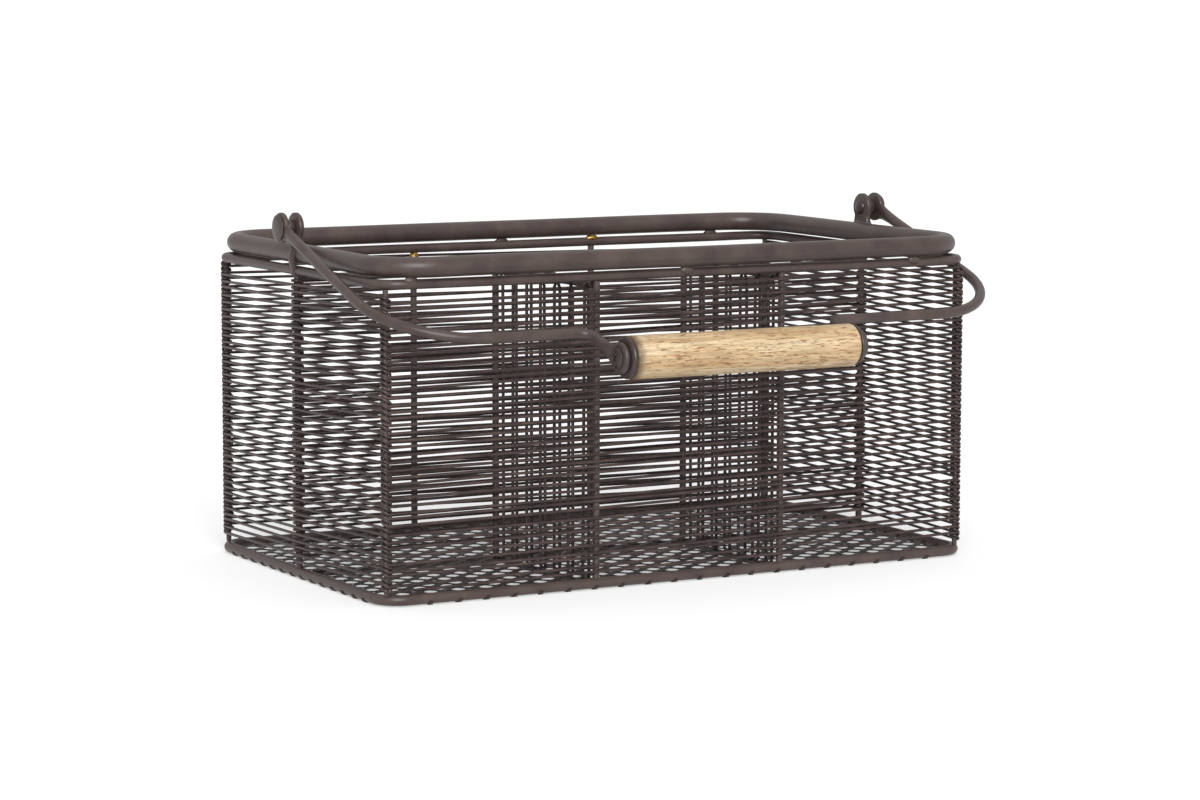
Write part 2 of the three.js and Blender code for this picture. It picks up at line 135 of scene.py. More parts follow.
# Mango wood, turned and sanded, lightly oiled: straight pale grain along the grip, short brown pore
# lines, broad warmer bands, and one end edge scorched brown by the lathe.
def turnedMango(name, look):
    material, tree = newMaterial(name)
    place = addNode(tree, "ShaderNodeTexCoord").outputs["Object"]
    along = addNode(tree, "ShaderNodeMapping", values={
        "Scale": (look["grainStretch"], 1, 1)}, links={"Vector": place})
    band = addNode(tree, "ShaderNodeTexNoise", values={
        "Scale": 1 / (look["bandWidth"] * mm), "Detail": 4, "Roughness": 0.6, "Distortion": 0.4},
        links={"Vector": along.outputs["Vector"]})
    tone = addNode(tree, "ShaderNodeValToRGB", links={"Fac": band.outputs["Fac"]})
    setStops(tone, [(0.3, linear(look["warm"])), (0.5, linear(look["middle"])),
                    (0.68, linear(look["pale"]))])
    grain = addNode(tree, "ShaderNodeTexNoise", values={
        "Scale": 1 / (look["grainWidth"] * mm), "Detail": 3, "Roughness": 0.7},
        links={"Vector": along.outputs["Vector"]})
    fine = addNode(tree, "ShaderNodeValToRGB", links={"Fac": grain.outputs["Fac"]})
    setStops(fine, [(0.36, grey(0.62)), (0.6, grey(1.0))])
    shaded = addNode(tree, "ShaderNodeMix", {"data_type": "RGBA", "blend_type": "MULTIPLY"}, {0: 1.0}, {
        6: tone.outputs["Color"], 7: fine.outputs["Color"]})
    short = addNode(tree, "ShaderNodeMapping", values={
        "Scale": (look["poreStretch"], 1, 1)}, links={"Vector": place})
    pore = addNode(tree, "ShaderNodeTexNoise", values={
        "Scale": 1 / (look["poreWidth"] * mm), "Detail": 2, "Roughness": 0.6},
        links={"Vector": short.outputs["Vector"]})
    line = addNode(tree, "ShaderNodeValToRGB", links={"Fac": pore.outputs["Fac"]})
    setStops(line, [(0.55, grey(0)), (0.64, grey(look["poreAmount"]))])
    pored = addNode(tree, "ShaderNodeMix", {"data_type": "RGBA"}, {7: linear(look["pore"])}, {
        0: line.outputs["Color"], 6: shaded.outputs[2]})
    split = addNode(tree, "ShaderNodeSeparateXYZ", links={"Vector": place})
    edge = addNode(tree, "ShaderNodeTexNoise", values={
        "Scale": look["raggedScale"], "Detail": 2}, links={"Vector": place})
    ragged = addNode(tree, "ShaderNodeMath", {"operation": "MULTIPLY_ADD"}, {
        1: look["raggedDepth"] * mm}, {0: edge.outputs["Fac"], 2: split.outputs["X"]})
    scorch = addNode(tree, "ShaderNodeMapRange", values={
        "From Min": look["scorchStart"] * mm, "From Max": look["scorchEnd"] * mm,
        "To Min": look["scorchAmount"], "To Max": 0.0}, links={"Value": ragged.outputs["Value"]})
    ended = addNode(tree, "ShaderNodeMix", {"data_type": "RGBA"}, {7: linear(look["scorch"])}, {
        0: scorch.outputs["Result"], 6: pored.outputs[2]})
    bump = addNode(tree, "ShaderNodeBump", values={
        "Strength": 0.25, "Distance": 0.15 * mm}, links={"Height": fine.outputs["Color"]})
    shader = addNode(tree, "ShaderNodeBsdfPrincipled", values={
        "Roughness": look["roughness"], "IOR": 1.5, "Specular IOR Level": 0.35}, links={
        "Base Color": ended.outputs[2], "Normal": bump.outputs["Normal"]})
    addNode(tree, "ShaderNodeOutputMaterial", links={"Surface": shader.outputs["BSDF"]})
    return material


# The opal acrylic top of a light table: matt, pale grey, and lit from below just enough to keep the
# shadows on it pale.
def lightTable(name, look):
    material, tree = newMaterial(name)
    place = addNode(tree, "ShaderNodeTexCoord").outputs["Object"]
    haze = addNode(tree, "ShaderNodeTexNoise", values={
        "Scale": look["hazeScale"], "Detail": 2}, links={"Vector": place})
    tone = addNode(tree, "ShaderNodeValToRGB", links={"Fac": haze.outputs["Fac"]})
    setStops(tone, [(0.3, linear(look["dark"])), (0.7, linear(look["pale"]))])
    shader = addNode(tree, "ShaderNodeBsdfPrincipled", values={
        "Roughness": 0.9, "Specular IOR Level": 0.1, "Emission Color": (1, 1, 1, 1),
        "Emission Strength": look["glow"]}, links={"Base Color": tone.outputs["Color"]})
    addNode(tree, "ShaderNodeOutputMaterial", links={"Surface": shader.outputs["BSDF"]})
    return material


steelLook = {
    "dark": "#362b29", "middle": "#3e3330", "light": "#473b37", "fleck": "#5f4830",
    "cloudSize": 16, "fleckSize": 2.2, "fleckAmount": 0.4, "roughness": 0.4,
    "peelSize": 1.1, "peel": 0.4, "shine": 0.35,
}
# The wire takes the rod's lacquer set darker. The darker tone is painted shade, standing in for the shade
# among the close courses and inside the basket.
wireLookWithPaintedShade = dict(steelLook, dark="#231b1a", middle="#312624", light="#40322f",
                cloudSize=11, fleckAmount=0.5, roughness=0.38)
# The floor takes the same lacquer set darker still. The darker tone is painted shade, standing in for the
# shade that falls on the floor down between the walls.
meshLookWithPaintedShade = dict(steelLook, dark="#1f1715", middle="#281e1b", light="#342825", roughness=0.48)
fittingLook = dict(steelLook, dark="#281f1e", middle="#302624", light="#3b302b",
                   roughness=0.34, shine=0.45, peelSize=0.8)
steel = lacqueredSteel("lacquered_steel_rod", steelLook)
wireSteelWithPaintedShade = lacqueredSteel("lacquered_steel_wire_with_painted_shade", wireLookWithPaintedShade)
meshSteelWithPaintedShade = lacqueredSteel("lacquered_expanded_steel_with_painted_shade", meshLookWithPaintedShade)
fittingSteel = lacqueredSteel("lacquered_steel_fitting", fittingLook)
brass = brazingBrass("brazing_brass", {
    "brass": "#b08a4a", "oxide": "#544026", "patchSize": 1.5, "roughness": 0.45})
wood = turnedMango("turned_mango_wood", {
    "warm": "#a08059", "middle": "#b59c78", "pale": "#c5b292", "pore": "#6e4b2e",
    "bandWidth": 6, "grainWidth": 0.9, "grainStretch": 0.06,
    "poreWidth": 0.8, "poreStretch": 0.16, "poreAmount": 0.8,
    "scorch": "#2e1c12", "scorchStart": -63.6, "scorchEnd": -58.8, "scorchAmount": 0.92,
    "raggedScale": 260, "raggedDepth": 2.2, "roughness": 0.55})
tableTop = lightTable("opal_light_table", {
    "dark": "#b8b8b8", "pale": "#bababa", "hazeScale": 3, "glow": 0.58})
print("materials ready")


# ---- mesh making
def middleOf(node):
    low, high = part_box(node)
    return (low + high) / 2


def addPiece(name, parts, material, body, slotName, *nodes, crease=40):
    vertices, faces = [], []
    for partVertices, partFaces in parts:
        start = len(vertices)
        vertices += partVertices
        faces += [[start + i for i in face] for face in partFaces]
    mesh = bpy.data.meshes.new(name)
    mesh.from_pydata([tuple(v) for v in vertices], [], faces)
    mesh.polygons.foreach_set("use_smooth", [True] * len(mesh.polygons))
    mesh.set_sharp_from_angle(angle=math.radians(crease))
    mesh.materials.append(material)
    mesh.update()
    piece = bpy.data.objects.new(name, mesh)
    bpy.context.scene.collection.objects.link(piece)
    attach(piece, body)
    if nodes:
        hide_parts(*nodes)


# A round rod swept along its centreline.
def sweep(points, radius, sides, closed=False):
    count = len(points)
    tangents = []
    for i in range(count):
        after = points[(i + 1) % count] if closed or i < count - 1 else points[i]
        before = points[i - 1] if closed or i > 0 else points[i]
        tangents.append((after - before).normalized())
    acrossAt = [tangents[0].orthogonal().normalized()]
    for i in range(1, count):
        across = tangents[i - 1].rotation_difference(tangents[i]) @ acrossAt[-1]
        acrossAt.append((across - tangents[i] * across.dot(tangents[i])).normalized())
    twist = 0.0
    if closed:
        last = tangents[-1].rotation_difference(tangents[0]) @ acrossAt[-1]
        twist = math.atan2(last.cross(acrossAt[0]).dot(tangents[0]), last.dot(acrossAt[0]))
    vertices = []
    for i in range(count):
        across = acrossAt[i]
        up = tangents[i].cross(across)
        for k in range(sides):
            angle = 2 * math.pi * k / sides + twist * i / count
            vertices.append(points[i] + (across * math.cos(angle) + up * math.sin(angle)) * radius)
    faces = []
    for i in range(count if closed else count - 1):
        a, b = i * sides, (i + 1) % count * sides
        for k in range(sides):
            n = (k + 1) % sides
            faces.append([a + k, a + n, b + n, b + k])
    if not closed:
        faces.append(list(range(sides))[::-1])
        faces.append([(count - 1) * sides + k for k in range(sides)])
    return vertices, faces


# A turned shape: the profile's points are place along the axis and distance from it.
def turn(profile, sides, origin, axis):
    across = axis.orthogonal().normalized()
    up = axis.cross(across)
    vertices, faces, rings = [], [], []
    for along, radius in profile:
        centre = origin + axis * along
        if radius < 1e-7:
            rings.append([len(vertices)])
            vertices.append(centre)
            continue
        rings.append(list(range(len(vertices), len(vertices) + sides)))
        for k in range(sides):
            angle = 2 * math.pi * k / sides
            vertices.append(centre + (across * math.cos(angle) + up * math.sin(angle)) * radius)
    for low, high in zip(rings, rings[1:]):
        for k in range(sides):
            n = (k + 1) % sides
            if len(low) == 1:
                faces.append([low[0], high[n], high[k]])
            elif len(high) == 1:
                faces.append([low[k], low[n], high[0]])
            else:
                faces.append([low[k], low[n], high[n], high[k]])
    return vertices, faces


# An uneven drop of metal, longest along X.
def lump(centre, size, seed, rings=10, sides=16):
    vertices, faces = [centre - Vector((size[0], 0, 0))], []
    for i in range(1, rings):
        polar = math.pi * i / rings
        for k in range(sides):
            angle = 2 * math.pi * k / sides
            way = Vector((-math.cos(polar), math.sin(polar) * math.cos(angle),
                          math.sin(polar) * math.sin(angle)))
            rough = 1 + 0.22 * noise.noise(way * 1.7 + Vector((seed, 0, 0)))
            vertices.append(centre + Vector([way[j] * size[j] * rough for j in range(3)]))
    vertices.append(centre + Vector((size[0], 0, 0)))
    last = len(vertices) - 1
    for k in range(sides):
        n = (k + 1) % sides
        faces.append([0, 1 + n, 1 + k])
        faces.append([last, last - sides + k, last - sides + n])
        for i in range(rings - 2):
            a, b = 1 + i * sides, 1 + (i + 1) * sides
            faces.append([a + k, a + n, b + n, b + k])
    return vertices, faces


def within(value, limit):
    return max(-limit, min(limit, value))


# The value at a place along a row of (place, value) stations, joined by straight steps.
def between(stations, place):
    for (p0, v0), (p1, v1) in zip(stations, stations[1:]):
        if place <= p1:
            return v0 + (v1 - v0) * ((place - p0) / (p1 - p0))
    return stations[-1][1]


def around(centre, radius, angle, height):
    return Vector((centre.x + radius * math.cos(angle), centre.y + radius * math.sin(angle), height))


# Handwork: a slow wander of up to about the given amount.
def wander(point, amount, seed, span=90 * mm):
    return point + noise.noise_vector(point / span + Vector((seed, seed, 0))) * amount


def roundedLoop(halfLength, halfDepth, corner, height, cornerSteps=12, sideSteps=14):
    loop = []
    for sx, sy, quarter in ((1, -1, -1), (1, 1, 0), (-1, 1, 1), (-1, -1, 2)):
        for k in range(cornerSteps + 1):
            angle = (quarter + k / cornerSteps) * math.pi / 2
            loop.append(Vector((sx * (halfLength - corner) + corner * math.cos(angle),
                                sy * (halfDepth - corner) + corner * math.sin(angle), height)))
        after = ((1, 1), (-1, 1), (-1, -1), (1, -1))[quarter + 1]
        angle = (quarter + 1) * math.pi / 2
        target = Vector((after[0] * (halfLength - corner) + corner * math.cos(angle),
                         after[1] * (halfDepth - corner) + corner * math.sin(angle), height))
        start = loop[-1]
        loop += [start.lerp(target, k / sideSteps) for k in range(1, sideSteps)]
    return loop


# ---- rim and rings
rim = {"radius": 4.75, "corner": 24.5, "wander": 0.35, "sides": 28}
upperRing = {"radius": 2.3, "corner": 12, "wander": 0.3, "sides": 16}
bottomRing = {"radius": 2.5, "corner": 12, "height": 3.0, "wander": 0.2, "sides": 16}


def addRing(name, node, look, slotName, seed):
    low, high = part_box(node)
    halfLength, halfDepth = high.x - (high.z - low.z) / 2, high.y - (high.z - low.z) / 2
    height = look["height"] * mm if "height" in look else (low.z + high.z) / 2
    loop = roundedLoop(halfLength, halfDepth, look["corner"] * mm, height)
    loop = [wander(p, look["wander"] * mm, seed) for p in loop]
    if "height" in look:  # this ring lies flat
        loop = [Vector((p.x, p.y, height)) for p in loop]
    rod = sweep(loop, look["radius"] * mm, look["sides"], closed=True)
    addPiece(name, [rod], steel, "basket", slotName, node)
    return halfLength, halfDepth


addRing("rim_bar", "top_rim", rim, "rim", 3.1)
ringHalf = addRing("upper_ring_rod", "upper_ring", upperRing, "rods", 8.4)
baseHalf = addRing("bottom_ring_rod", "bottom_ring", bottomRing, "rods", 5.7)
print("rim and rings made")

# ---- posts
post = {"radius": 1.65, "cornerRadius": 1.25, "lean": 0.35, "intoRing": 0.6, "steps": 6, "sides": 14}
postNodes = [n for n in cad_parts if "_post_" in n]
for index, node in enumerate(sorted(postNodes)):
    low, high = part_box(node)
    centre = (low + high) / 2
    bottom = low.z - post["intoRing"] * mm
    top = high.z + post["intoRing"] * mm
    lean = noise.noise_vector(Vector((index * 2.3, 0.4, 7.1))) * post["lean"] * mm
    line = []
    for k in range(post["steps"] + 1):
        t = k / post["steps"]
        bow = Vector((lean.x, lean.y, 0)) * math.sin(math.pi * t)
        line.append(Vector((centre.x, centre.y, bottom + (top - bottom) * t)) + bow)
    radius = post["cornerRadius"] if "corner" in node else post["radius"]
    addPiece(node.replace("_post_", "_upright_"), [sweep(line, radius * mm, post["sides"])],
             steel, "basket", "rods", node)

# ---- divider rods
for node in ("divider_top_rod", "floor_spine", "cross_top_rod_left", "cross_top_rod_right",
             "cross_floor_rod_left", "cross_floor_rod_right"):
    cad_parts[node].data.materials.clear()
    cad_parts[node].data.materials.append(steel)
print("posts and rods made")

# ---- wall winding
winding = {
    "wire": 1.42, "pitch": 3.3, "courses": 41, "first": 8.6, "sides": 7, "standOff": 0.06,
    "courseDrift": 0.34, "driftLimit": 0.7, "postDrift": 0.22, "sideCalm": 0.4, "postBend": 0.8,
    "cornerDrop": 2.8, "cornerReturn": 1.7, "cornerSteps": 15,
}
dice = random.Random(41)
wireRadius = winding["wire"] * mm / 2
hugRadius = post["radius"] * mm + wireRadius + winding["standOff"] * mm
cornerHug = post["cornerRadius"] * mm + wireRadius + winding["standOff"] * mm
wallPosts = ["side_post_left", "corner_post_front_left", "front_post_left", "front_post_right",
             "corner_post_front_right", "side_post_right", "corner_post_back_right",
             "back_post_right", "back_post_left", "corner_post_back_left"]
centres = [middleOf(n).xy for n in wallPosts]
spanCount = len(wallPosts)
ways = [(centres[(i + 1) % spanCount] - centres[i]).normalized() for i in range(spanCount)]
outwards = [math.atan2(-way.x, way.y) for way in ways]  # angle of each span's outward side
lengths = [(centres[(i + 1) % spanCount] - centres[i]).length for i in range(spanCount)]
isCorner = ["corner" in n for n in wallPosts]
cornerNet = 2 * winding["cornerDrop"] - winding["cornerReturn"]


# How far each post's crossing lies above its course's level: the wire drops at a corner's loop and
# climbs back along the wall.
def sideRise():
    rises = [0.0] * spanCount
    corners = [i for i in range(spanCount) if isCorner[i]]
    for a, b in zip(corners, corners[1:] + [corners[0] + spanCount]):
        run = sum(lengths[i % spanCount] for i in range(a, b))
        gone = 0.0
        for i in range(a + 1, b):
            gone += lengths[(i - 1) % spanCount]
            rises[i % spanCount] = cornerNet * (gone / run - 0.5)
    return rises


# One wire from the bottom up: past each middle post on the outside, and once round each corner post.
def wallCourses():
    rises = sideRise()
    perimeter = sum(lengths)
    postBend = winding["postBend"] * mm
    cornerLevels = ((0, cornerNet / 2), (0.33, cornerNet / 2 - winding["cornerDrop"]),
                    (0.67, winding["cornerDrop"] - cornerNet / 2), (1, -cornerNet / 2))
    points = []
    for course in range(winding["courses"]):
        drift = within(dice.gauss(0, winding["courseDrift"]), winding["driftLimit"])
        gone = 0.0
        for i in range(spanCount):
            calm = winding["sideCalm"] if "side" in wallPosts[i] else 1.0
            level = winding["first"] + winding["pitch"] * (course + gone / perimeter)
            level += calm * drift + calm * dice.gauss(0, winding["postDrift"])
            arrive = outwards[i - 1]
            turned = (outwards[i] - arrive) % (2 * math.pi)
            if isCorner[i]:
                for k in range(winding["cornerSteps"] + 1):
                    t = k / winding["cornerSteps"]
                    angle = arrive + (turned + 2 * math.pi) * t
                    height = (level + between(cornerLevels, t)) * mm
                    points.append(around(centres[i], cornerHug, angle, height))
            else:
                height = (level + rises[i]) * mm
                before, after = centres[i] - ways[i - 1] * postBend, centres[i] + ways[i] * postBend
                points.append(around(before, hugRadius, arrive, height))
                points.append(around(after, hugRadius, arrive + turned, height))
            gone += lengths[i]
    return points


addPiece("wall_winding", [sweep(wallCourses(), wireRadius, winding["sides"])], wireSteelWithPaintedShade, "basket",
         "winding_wire", "winding_front", "winding_back", "winding_left", "winding_right", crease=60)
print("walls wound")


# ---- long divider winding: back and forth between the end posts, one and a half times round each
divider = {"drift": 0.25, "driftLimit": 0.5, "postDrift": 0.18, "turnSteps": 18}


def dividerCourses():
    left, right = middleOf("side_post_left").xy, middleOf("side_post_right").xy
    stops = [left.x, middleOf("inner_post_left").x, middleOf("inner_post_right").x, right.x]
    points = []
    for course in range(winding["courses"] - 1):
        rightward = course % 2 == 0
        side = 1 if rightward else -1
        drift = within(dice.gauss(0, divider["drift"]), divider["driftLimit"])
        atLeft = winding["first"] + winding["pitch"] * (course + 0.5)
        atRight = winding["first"] + winding["pitch"] * (course + 1.0)
        pairs = [(x, atLeft + (atRight - atLeft) * (x - left.x) / (right.x - left.x)) for x in stops]
        if not rightward:
            pairs.reverse()
        for k, (x, level) in enumerate(pairs):
            loose = drift + dice.gauss(0, divider["postDrift"]) if k in (1, 2) else 0
            points.append(Vector((x, side * hugRadius, (level + loose) * mm)))
        centre = right if rightward else left
        begin = pairs[-1][1]
        for k in range(1, divider["turnSteps"]):
            t = k / divider["turnSteps"]
            angle = side * math.pi / 2 - 3 * math.pi * t
            rise = min(1, max(0, (t - 1 / 3) * 3))
            points.append(around(centre, hugRadius, angle, (begin + winding["pitch"] * rise) * mm))
    return points


addPiece("divider_winding", [sweep(dividerCourses(), wireRadius, winding["sides"])], wireSteelWithPaintedShade,
         "basket", "winding_wire", "winding_divider", crease=60)

# ---- cross dividers: upright wires over the top rod and down to the floor, side by side
cross = {
    "wires": 13, "start": 8.5, "end": 88.0, "drift": 1.0, "wire": 1.6, "floorAt": 4.3, "floorTurn": 1.2,
    "floorSplay": 0.4, "topSplay": 0.8, "slip": 0.9, "shoulder": 4, "shoulderSlip": 0.8, "turnSteps": 8,
}


def crossWires(side):
    inner, front = middleOf(f"inner_post_{side}").xy, middleOf(f"front_post_{side}").xy
    rodLow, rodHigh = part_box(f"cross_top_rod_{side}")
    rodHeight = (rodLow.z + rodHigh.z) / 2
    over = (rodHigh.z - rodLow.z) / 2 + cross["wire"] * mm / 2
    run = (front - inner).normalized()
    aside = Vector((-run.y, run.x))
    reach = (cross["end"] - cross["start"]) / (cross["wires"] - 1)
    places = [cross["start"] + reach * i + dice.uniform(-1, 1) * cross["drift"]
              for i in range(cross["wires"])]
    points = []
    for i, place in enumerate(places):
        goingUp = i % 2 == 0
        hand = -1 if goingUp else 1
        base = inner + run * place * mm
        low = Vector((*(base + aside * hand * cross["floorSplay"] * mm), cross["floorAt"] * mm))
        slip = dice.uniform(-cross["slip"], cross["slip"]) * mm
        high = Vector((*(base + run * slip + aside * hand * over), rodHeight))
        below = base + run * slip * cross["shoulderSlip"] + aside * hand * cross["topSplay"] * mm
        shoulder = Vector((*below, rodHeight - cross["shoulder"] * mm))
        uprights = [low.lerp(shoulder, k / 5) for k in range(6)] + [high]
        points += uprights if goingUp else uprights[::-1]
        if i == len(places) - 1:
            break
        nextBase = inner + run * places[i + 1] * mm
        for k in range(1, cross["turnSteps"]):
            t = k / cross["turnSteps"]
            middle = base.lerp(nextBase, t)
            angle = math.pi * t
            if goingUp:
                spot = middle + aside * hand * over * math.cos(angle)
                points.append(Vector((*spot, rodHeight + over * math.sin(angle))))
            else:
                spot = middle + aside * hand * cross["floorSplay"] * mm * math.cos(angle)
                height = cross["floorAt"] - cross["floorTurn"] * math.sin(angle)
                points.append(Vector((*spot, height * mm)))
    return points


for side in ("left", "right"):
    wires = sweep(crossWires(side), cross["wire"] * mm / 2, winding["sides"])
    addPiece(f"cross_winding_{side}", [wires], wireSteelWithPaintedShade, "basket", "winding_wire",
             f"winding_cross_{side}", crease=60)
print("dividers wound")

# ---- floor of expanded metal
floor = {
    "longWay": 14.3, "shortWay": 11.5, "strand": 4.5, "strandTrim": 0.82, "thick": 0.5, "height": 3.4,
    "tilt": 0.25, "intoRing": 0.6, "spill": 0.2, "cornerGap": 9, "hookCornerGap": 8,
    "hookWidth": 2.3, "hookThick": 0.5, "hookStart": 172, "hookSweep": 168, "hookTaper": 0.35,
    "hookSlant": 1.4, "hookSteps": 12,
}


# Rows of diamonds, each with an opening whose two long edges are tilted apart, one up and one down.
# The function also gives the places along the edge where a cut strand is bent under the bottom ring.
def expandedMetal():
    halfX, halfY = [half - bottomRing["radius"] * mm + floor["intoRing"] * mm for half in baseHalf]
    a, b = floor["longWay"] * mm / 2, floor["shortWay"] * mm / 2
    strand = floor["strand"] * mm / 2
    slopeLength = math.hypot(a, b)
    inX = a - strand * slopeLength / b * floor["strandTrim"]
    inY = b - strand * slopeLength / a * floor["strandTrim"]
    diamond = [(1, 0), (0.5, 0.5), (0, 1), (-0.5, 0.5), (-1, 0), (-0.5, -0.5), (0, -1), (0.5, -0.5)]
    opening = [(1, 0), (0.56, 0.5), (0.1, 0.95), (-0.56, 0.5),
               (-1, 0), (-0.56, -0.5), (-0.1, -0.95), (0.56, -0.5)]
    vertices, faces, hooks = [], [], []
    found = {}

    def corner(x, y, z):
        x, y = within(x, halfX), within(y, halfY)
        key = (round(x * 1e6), round(y * 1e6), round(z * 1e6))
        if key not in found:
            found[key] = len(vertices)
            vertices.append(Vector((x, y, z)))
        return found[key]

    top = floor["height"] * mm + floor["thick"] * mm / 2
    bottom = top - floor["thick"] * mm
    gap = floor["cornerGap"] * mm
    rows = int(halfY / b) + 1
    columns = int(halfX / (2 * a)) + 1
    for row in range(-rows, rows + 1):
        for column in range(-columns, columns + 1):
            x = (column + (0.5 if row % 2 else 0)) * 2 * a
            y = row * b
            beyond = abs(x) > halfX - a * floor["spill"] or abs(y) > halfY - b * floor["spill"]
            if beyond or (abs(x) > halfX - gap and abs(y) > halfY - gap):
                continue
            outerTop = [corner(x + px * a, y + py * b, top) for px, py in diamond]
            outerLow = [corner(x + px * a, y + py * b, bottom) for px, py in diamond]
            innerTop, innerLow = [], []
            for px, py in opening:
                tilt = floor["tilt"] * mm * (1 if py > 0 else -1 if py < 0 else 0)
                innerTop.append(corner(x + inX * px, y + inY * py, top + tilt))
                innerLow.append(corner(x + inX * px, y + inY * py, bottom + tilt))
            for k in range(8):
                n = (k + 1) % 8
                faces.append([outerTop[k], outerTop[n], innerTop[n], innerTop[k]])
                faces.append([outerLow[n], outerLow[k], innerLow[k], innerLow[n]])
                faces.append([innerTop[k], innerTop[n], innerLow[n], innerLow[k]])
            if abs(y) + 1.5 * b > halfY:
                way = math.copysign(1, y)
                hooks.append((Vector((x, way * baseHalf[1], 0)), Vector((0, way, 0))))
            if abs(x) + 1.1 * a > halfX and abs(y) < halfY - floor["hookCornerGap"] * mm:
                way = math.copysign(1, x)
                hooks.append((Vector((way * baseHalf[0], y, 0)), Vector((way, 0, 0))))
    return (vertices, faces), hooks


# A strand end bent round under the bottom ring, from inside to outside.
def strandHook(foot, outward, slant):
    reach = bottomRing["radius"] * mm + floor["hookThick"] * mm / 2
    along = Vector((outward.y, -outward.x, 0))
    wide, thick = floor["hookWidth"] * mm / 2, floor["hookThick"] * mm / 2
    centre = foot + Vector((0, 0, bottomRing["height"] * mm))
    vertices, faces = [], []
    steps = floor["hookSteps"]
    for k in range(steps + 1):
        angle = math.radians(floor["hookStart"] + floor["hookSweep"] * k / steps)
        way = outward * math.cos(angle) + Vector((0, 0, math.sin(angle)))
        spot = centre + way * reach + along * slant * (k / steps - 0.5)
        width = wide * (1 - floor["hookTaper"] * (k / steps) ** 2)
        vertices += [spot + along * width + way * thick, spot - along * width + way * thick,
                     spot - along * width - way * thick, spot + along * width - way * thick]
    for k in range(steps):
        for j in range(4):
            n = (j + 1) % 4
            faces.append([4 * k + j, 4 * k + n, 4 * (k + 1) + n, 4 * (k + 1) + j])
    faces.append([3, 2, 1, 0])
    faces.append([4 * steps + j for j in range(4)])
    return vertices, faces


sheetPart, hookPlaces = expandedMetal()
hookParts = []
for foot, outward in hookPlaces:
    slant = dice.uniform(-floor["hookSlant"], floor["hookSlant"]) * mm
    hookParts.append(strandHook(foot, outward, slant))
addPiece("floor_expanded_metal", [sheetPart] + hookParts, meshSteelWithPaintedShade, "basket", "floor_mesh", "floor_mesh")
print("floor made, with", len(hookParts), "strand ends")

# ---- welds between rim and ring, and braze at the back posts
weld = {"length": 3.6, "depth": 1.7, "height": 2.3, "tuck": 1.6, "cornerTuck": 3.4, "cornerFrom": 130}
for index, node in enumerate(sorted(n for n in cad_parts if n.startswith("rim_weld"))):
    spot = middleOf(node)
    nearCorner = abs(spot.x) > weld["cornerFrom"] * mm  # the rim has turned inwards there
    spot.y -= math.copysign(weld["cornerTuck" if nearCorner else "tuck"] * mm, spot.y)
    bead = lump(spot, [weld[way] * mm for way in ("length", "depth", "height")], index * 3.7)
    addPiece(node.replace("rim_weld", "weld_bead"), [bead], steel, "basket", "welds", node, crease=80)

# two smears of brazing brass on the inner side, one below the ring and one on top of it
braze = {"inset": 0.9, "left": {"lift": -4.4, "size": (2.6, 2.1, 3.0)},
         "right": {"lift": 2.0, "size": (3.4, 1.8, 1.7)}}
ringHeight = middleOf("upper_ring").z
for side in ("left", "right"):
    look = braze[side]
    spot = Vector((middleOf(f"back_post_{side}").x, ringHalf[1] - braze["inset"] * mm,
                   ringHeight + look["lift"] * mm))
    smear = lump(spot, [v * mm for v in look["size"]], spot.x * 90)
    addPiece(f"braze_{side}", [smear], brass, "basket", "welds", crease=80)
print("welds made")

# ---- pivots
rivet = {"shank": 2.0, "tail": 3.6, "head": 6.2, "headThick": 1.5}
lug = {"foot": 6.4, "footDrop": 2.2, "footHeight": 3.2, "bevel": 0.5, "arcStart": -38, "arcSweep": 256,
       "arcSteps": 28, "weld": (2.6, 7.2, 1.5)}
spacer = {"bore": 2.2, "radius": 3.8, "bevel": 0.3}
strap = {"top": 0.95, "taper": 0.5, "tuck": 1.1, "tuckRun": 1.25, "bow": 0.12, "steps": 14}


# A domed head outside, and a tail inside that was hammered round.
def addRivet(side, hub, axis):
    low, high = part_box(f"pivot_rivet_{side}")
    tailEnd, headEnd = sorted((abs(low.x), abs(high.x)))
    tail, shank, head = rivet["tail"] * mm, rivet["shank"] * mm, rivet["head"] * mm
    tailIn, headIn = tailEnd + 1.6 * mm, headEnd - rivet["headThick"] * mm
    profile = [(tailEnd, 0), (tailEnd + 0.15 * mm, 1.5 * mm), (tailEnd + 0.6 * mm, 2.8 * mm),
               (tailEnd + 1.3 * mm, 3.5 * mm), (tailIn, tail), (tailIn, shank),
               (headIn, shank), (headIn, head - 0.3 * mm), (headIn + 0.25 * mm, head),
               (headIn + 0.6 * mm, head - 0.05 * mm), (headIn + 1.0 * mm, head * 0.86),
               (headIn + 1.3 * mm, head * 0.6), (headIn + 1.45 * mm, head * 0.3), (headEnd, 0)]
    addPiece(f"rivet_{side}", [turn(profile, 40, hub, axis)], fittingSteel, "basket", "pivots",
             f"pivot_rivet_{side}", crease=50)


